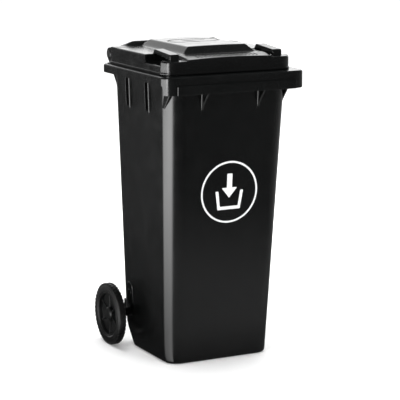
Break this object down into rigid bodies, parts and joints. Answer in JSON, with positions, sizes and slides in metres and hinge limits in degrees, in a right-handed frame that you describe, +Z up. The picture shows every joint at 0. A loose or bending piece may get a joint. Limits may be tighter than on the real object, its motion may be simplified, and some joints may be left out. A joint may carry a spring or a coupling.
{
  "type": "wheelie bin",
  "caption": "Tall tapered two-wheeled waste bin with a hinged lid, lid grips, a rear handle bar and a steel axle.",
  "frame": {"origin": "on the floor, under the middle of the bin's outer box", "axes": "+Z up, the front of the bin faces -Y, +X along the axle to the side that is on the right when seen from the front"},
  "size_m": [0.488, 0.547, 0.986],
  "materials": {
    "shell": "moulded black HDPE, semi-gloss",
    "wheel_plastic": "moulded black polypropylene",
    "fitting_plastic": "moulded black polyamide",
    "nylon": "natural polyamide",
    "tyre": "solid black rubber",
    "zinc_steel": "bright zinc plated steel"
  },
  "bodies": {
    "bin": {"body": "shell", "hinge_pin_left": "fitting_plastic", "hinge_pin_right": "fitting_plastic", "axle": "zinc_steel", "spacer_left": "fitting_plastic", "inner_washer_left": "zinc_steel", "outer_washer_left": "zinc_steel", "retaining_ring_left": "zinc_steel", "spacer_right": "fitting_plastic", "inner_washer_right": "zinc_steel", "outer_washer_right": "zinc_steel", "retaining_ring_right": "zinc_steel"},
    "lid": {"lid": "shell"},
    "wheel_left": {"bush_left": "nylon", "wheel_disc_left": "wheel_plastic", "tyre_left": "tyre", "hub_cap_left": "wheel_plastic"},
    "wheel_right": {"bush_right": "nylon", "wheel_disc_right": "wheel_plastic", "tyre_right": "tyre", "hub_cap_right": "wheel_plastic"}
  },
  "joints": [
    {"name": "lid_hinge", "type": "hinge", "parent": "bin", "child": "lid", "pos_m": [0, 0.2535, 0.9315], "axis": [-1, 0, 0], "range_deg": [0, 268]},
    {"name": "wheel_left_spin", "type": "hinge", "parent": "bin", "child": "wheel_left", "pos_m": [-0.231, 0.1635, 0.1], "axis": [1, 0, 0], "continuous": true},
    {"name": "wheel_right_spin", "type": "hinge", "parent": "bin", "child": "wheel_right", "pos_m": [0.231, 0.1635, 0.1], "axis": [1, 0, 0], "continuous": true}
  ]
}
